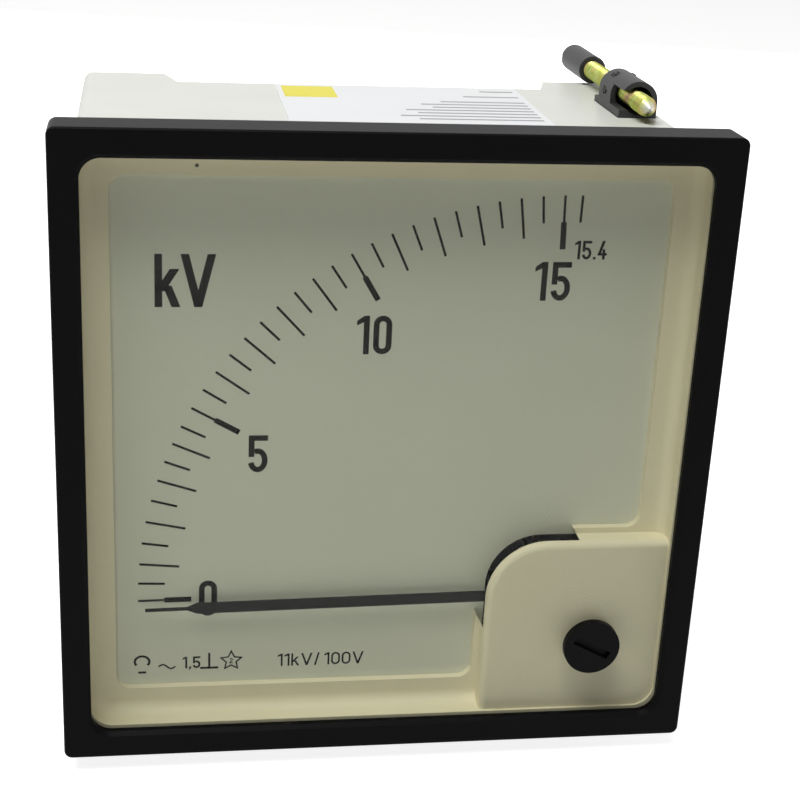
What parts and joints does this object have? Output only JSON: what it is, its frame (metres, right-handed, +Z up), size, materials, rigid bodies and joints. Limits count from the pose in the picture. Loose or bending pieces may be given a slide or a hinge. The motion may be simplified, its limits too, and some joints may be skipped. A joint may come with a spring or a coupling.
{
  "type": "analog panel meter",
  "caption": "Square moving-iron panel meter with a quarter-circle scale, pointer, zero adjuster, deep moulded case, rear terminal studs and two screw clamps.",
  "frame": {"origin": "centre of the front frame's rear face, where the meter seats on the panel", "axes": "+X to the right and +Z up as the dial is read, +Y into the panel, from the dial to the terminals"},
  "size_m": [0.096, 0.0697, 0.1012],
  "materials": {
    "black_abs": "moulded, satin",
    "clear_window": "clear moulded acrylic, polished",
    "cream_abs": "moulded, fine matt",
    "dial_paint": "matt off-white enamel",
    "grey_abs": "moulded pale grey, slightly glossy",
    "label_film": "white polyester film",
    "pointer_paint": "thin sheet, matt black lacquer",
    "brass": "turned",
    "steel": "turned, bright zinc",
    "soft_iron": "annealed sheet",
    "aluminium_sheet": "pressed sheet",
    "bronze": "rolled strip",
    "phenolic": "moulded phenolic",
    "enamelled_wire": "layer-wound enamelled copper",
    "resistor_enamel": "dipped enamel",
    "board_laminate": "paper laminate",
    "wire_insulation": "extruded insulation",
    "tinned_brass": "tinned sheet",
    "black_nylon": "moulded glass-filled nylon",
    "yellow_zinc": "zinc plated, yellow passivated"
  },
  "bodies": {
    "case": {"bezel_frame": "black_abs", "front_window": "clear_window", "dial_mask": "cream_abs", "dial_plate": "dial_paint", "case_shell": "grey_abs", "rating_label": "label_film", "front_bearing": "brass", "rear_bearing": "brass", "front_bridge": "aluminium_sheet", "bridge_pillars": "brass", "bridge_screws": "steel", "movement_base": "phenolic", "movement_screws": "steel", "coil_bobbin": "phenolic", "coil_winding": "enamelled_wire", "fixed_iron": "soft_iron", "damping_chamber": "phenolic", "damping_cover": "aluminium_sheet", "series_resistors": "resistor_enamel", "resistor_board": "board_laminate", "board_screws": "steel", "lead_wires": "wire_insulation", "solder_tags": "tinned_brass", "terminal_studs": "brass", "terminal_fixing_nuts": "brass", "terminal_washers": "tinned_brass", "terminal_nuts": "brass", "top_clamp_bracket": "black_nylon", "top_clamp_nut": "steel", "bottom_clamp_bracket": "black_nylon", "bottom_clamp_nut": "steel"},
    "zero_lever": {"zero_lever": "brass", "hairspring": "bronze"},
    "moving_system": {"pointer": "pointer_paint", "pointer_hub": "brass", "balance_weights": "brass", "spindle": "steel", "moving_iron": "soft_iron", "damping_vane": "aluminium_sheet"},
    "zero_adjuster": {"zero_adjuster": "black_abs"},
    "top_clamp_stud": {"top_clamp_stud": "yellow_zinc"},
    "top_clamp_knob": {"top_clamp_knob": "black_nylon"},
    "bottom_clamp_stud": {"bottom_clamp_stud": "yellow_zinc"},
    "bottom_clamp_knob": {"bottom_clamp_knob": "black_nylon"}
  },
  "joints": [
    {"name": "zero_lever_swing", "type": "hinge", "parent": "case", "child": "zero_lever", "pos_m": [0.0255, 0, -0.0253], "axis": [0, 1, 0], "range_deg": [-5.6, 5.6]},
    {"name": "pointer_swing", "type": "hinge", "parent": "zero_lever", "child": "moving_system", "pos_m": [0.0255, 0, -0.0253], "axis": [0, 1, 0], "range_deg": [-1.4, 94], "stiffness_Nm_per_rad": 0.00005, "deforming": ["hairspring"]},
    {"name": "zero_adjuster_turn", "type": "hinge", "parent": "case", "child": "zero_adjuster", "pos_m": [0.03255, 0, -0.032], "axis": [0, 1, 0], "range_deg": [-40, 40]},
    {"name": "top_stud_feed", "type": "slide", "parent": "case", "child": "top_clamp_stud", "axis": [0, -1, 0], "range_m": [-0.012, 0.013]},
    {"name": "top_knob_turn", "type": "hinge", "parent": "top_clamp_stud", "child": "top_clamp_knob", "pos_m": [0.04, 0.05, 0.0476], "axis": [0, -1, 0], "range_deg": [-8650, 9370]},
    {"name": "bottom_stud_feed", "type": "slide", "parent": "case", "child": "bottom_clamp_stud", "axis": [0, -1, 0], "range_m": [-0.012, 0.013]},
    {"name": "bottom_knob_turn", "type": "hinge", "parent": "bottom_clamp_stud", "child": "bottom_clamp_knob", "pos_m": [-0.04, 0.05, -0.0476], "axis": [0, -1, 0], "range_deg": [-8650, 9370]}
  ],
  "couplings": [
    {"joint": "zero_lever_swing", "follows": "zero_adjuster_turn", "ratio": -0.133},
    {"joint": "top_knob_turn", "follows": "top_stud_feed", "rad_per_m": 12566},
    {"joint": "bottom_knob_turn", "follows": "bottom_stud_feed", "rad_per_m": 12566}
  ]
}
